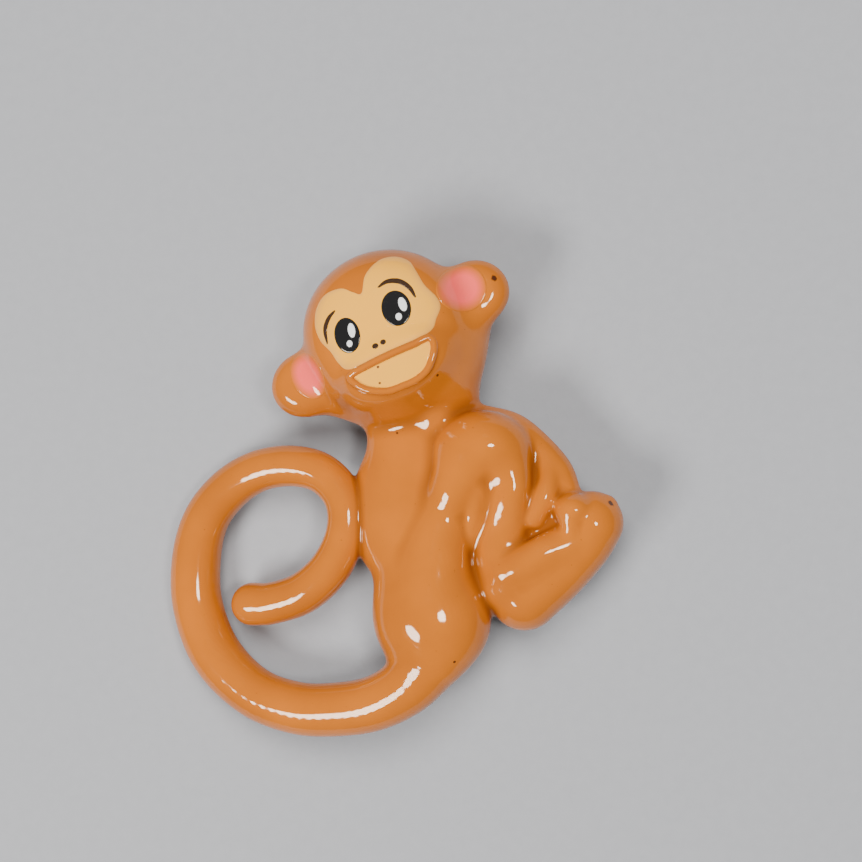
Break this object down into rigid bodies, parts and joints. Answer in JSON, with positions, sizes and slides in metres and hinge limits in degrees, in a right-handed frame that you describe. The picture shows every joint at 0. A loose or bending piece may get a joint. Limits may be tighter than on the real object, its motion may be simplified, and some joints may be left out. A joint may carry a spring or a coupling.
{
  "type": "figural enamel brooch",
  "caption": "Enamelled cast-metal monkey brooch, crouching side view with a curled ring tail, painted face, hollow back and a hinged pin stem with a turning safety catch.",
  "frame": {"origin": "under the middle of the brooch's outline, on the plane it lies on, pin side down", "axes": "+Z out of the painted face, +Y towards the monkey's head, +X towards its feet"},
  "size_m": [0.0423, 0.0441, 0.0124],
  "materials": {
    "casting_metal": "bare cast white metal, slightly grainy, dull nickel plate",
    "brown_enamel": "thick glossy caramel-brown enamel",
    "cream_enamel": "glossy cream enamel",
    "pink_enamel": "glossy pink enamel",
    "black_enamel": "glossy black paint",
    "white_enamel": "glossy white paint",
    "dark_brown_enamel": "glossy dark brown paint",
    "finding_steel": "nickel-plated pressed steel",
    "stem_steel": "drawn spring-steel wire, bright",
    "rotor_brass": "nickel-washed brass, worn at the lever",
    "solder": "dull soft solder"
  },
  "bodies": {
    "brooch": {"body_casting": "casting_metal", "brown_enamel": "brown_enamel", "face_enamel": "cream_enamel", "muzzle_enamel": "cream_enamel", "left_ear_enamel": "pink_enamel", "right_ear_enamel": "pink_enamel", "left_eye": "black_enamel", "right_eye": "black_enamel", "eye_glints": "white_enamel", "left_brow": "dark_brown_enamel", "right_brow": "dark_brown_enamel", "nostrils": "dark_brown_enamel", "bar_plate": "finding_steel", "hinge_rivet": "finding_steel", "catch_housing": "finding_steel", "solder_joints": "solder"},
    "stem": {"pin_stem": "stem_steel"},
    "rotor": {"catch_rotor": "rotor_brass"}
  },
  "joints": [
    {"name": "stem_hinge", "type": "hinge", "parent": "brooch", "child": "stem", "pos_m": [0.005, 0.0082, 0.00123], "axis": [1, 0, 0], "range_deg": [0, 80]},
    {"name": "catch_turn", "type": "hinge", "parent": "brooch", "child": "rotor", "pos_m": [0.005, -0.0084, 0.00123], "axis": [0, -1, 0], "range_deg": [0, 170]}
  ]
}
